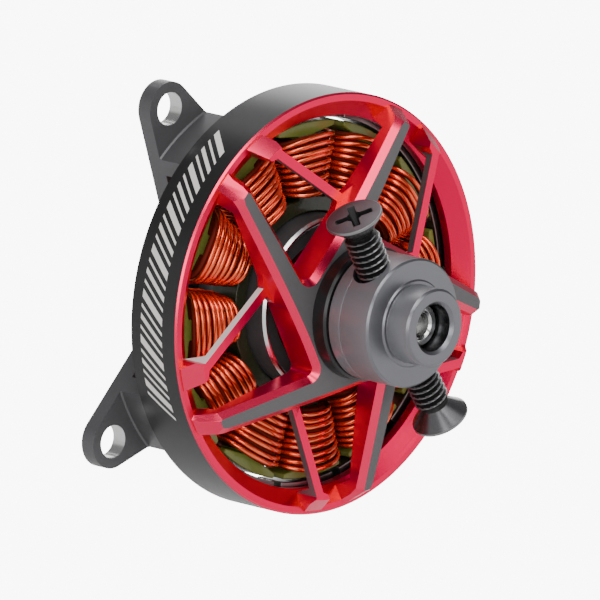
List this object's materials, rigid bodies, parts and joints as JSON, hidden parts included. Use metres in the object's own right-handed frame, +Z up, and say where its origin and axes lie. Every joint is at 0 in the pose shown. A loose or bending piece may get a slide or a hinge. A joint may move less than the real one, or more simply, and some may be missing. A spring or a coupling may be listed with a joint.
{
  "type": "brushless outrunner motor",
  "caption": "Flat outrunner motor with a star-shaped open bell, copper-wound stator, four-lug cross mount and a propeller hub with two side screws.",
  "frame": {"origin": "centre of the mount's rear face, on the shaft's axis", "axes": "-Y is the output end of the shaft, +Z up, mounting holes on the diagonals of X and Z"},
  "size_m": [0.028, 0.0174, 0.028],
  "materials": {
    "bell_anodised": "red anodised, cut facets, with black anodised arm tops, boss and skirt",
    "flux_steel": "plated steel ring",
    "magnet_nickel": "nickel-plated magnets",
    "shaft_steel": "ground steel",
    "hub_metal": "grey anodised, fine turned satin",
    "black_oxide": "black oxide",
    "bearing_steel": "polished bearing steel",
    "mount_anodised": "black anodised satin",
    "core_epoxy": "olive epoxy coat over steel laminations",
    "coil_enamel": "enamelled copper wire, copper-orange gloss"
  },
  "bodies": {
    "stator": {"mount": "mount_anodised", "stator_core": "core_epoxy", "coil_01": "coil_enamel", "coil_02": "coil_enamel", "coil_03": "coil_enamel", "coil_04": "coil_enamel", "coil_05": "coil_enamel", "coil_06": "coil_enamel", "coil_07": "coil_enamel", "coil_08": "coil_enamel", "coil_09": "coil_enamel", "coil_10": "coil_enamel", "coil_11": "coil_enamel", "coil_12": "coil_enamel", "front_bearing_outer_race": "bearing_steel", "rear_bearing_outer_race": "bearing_steel"},
    "rotor": {"bell_cap": "bell_anodised", "flux_ring": "flux_steel", "magnet_01": "magnet_nickel", "magnet_02": "magnet_nickel", "magnet_03": "magnet_nickel", "magnet_04": "magnet_nickel", "magnet_05": "magnet_nickel", "magnet_06": "magnet_nickel", "magnet_07": "magnet_nickel", "magnet_08": "magnet_nickel", "magnet_09": "magnet_nickel", "magnet_10": "magnet_nickel", "magnet_11": "magnet_nickel", "magnet_12": "magnet_nickel", "magnet_13": "magnet_nickel", "magnet_14": "magnet_nickel", "shaft": "shaft_steel", "prop_hub": "hub_metal", "hub_screw_upper": "black_oxide", "hub_screw_lower": "black_oxide", "front_spacer": "shaft_steel", "rear_shim": "shaft_steel", "retaining_clip": "black_oxide", "front_bearing_inner_race": "bearing_steel", "rear_bearing_inner_race": "bearing_steel"},
    "front_ball_set": {"front_bearing_balls": "bearing_steel"},
    "rear_ball_set": {"rear_bearing_balls": "bearing_steel"}
  },
  "joints": [
    {"name": "rotor_spin", "type": "hinge", "parent": "stator", "child": "rotor", "pos_m": [0, -0.0075, 0], "axis": [0, -1, 0], "continuous": true},
    {"name": "front_balls_roll", "type": "hinge", "parent": "stator", "child": "front_ball_set", "pos_m": [0, -0.0052, 0], "axis": [0, -1, 0], "continuous": true},
    {"name": "rear_balls_roll", "type": "hinge", "parent": "stator", "child": "rear_ball_set", "pos_m": [0, -0.00225, 0], "axis": [0, -1, 0], "continuous": true}
  ],
  "couplings": [
    {"joint": "front_balls_roll", "follows": "rotor_spin", "ratio": 0.4107},
    {"joint": "rear_balls_roll", "follows": "rotor_spin", "ratio": 0.4107}
  ]
}
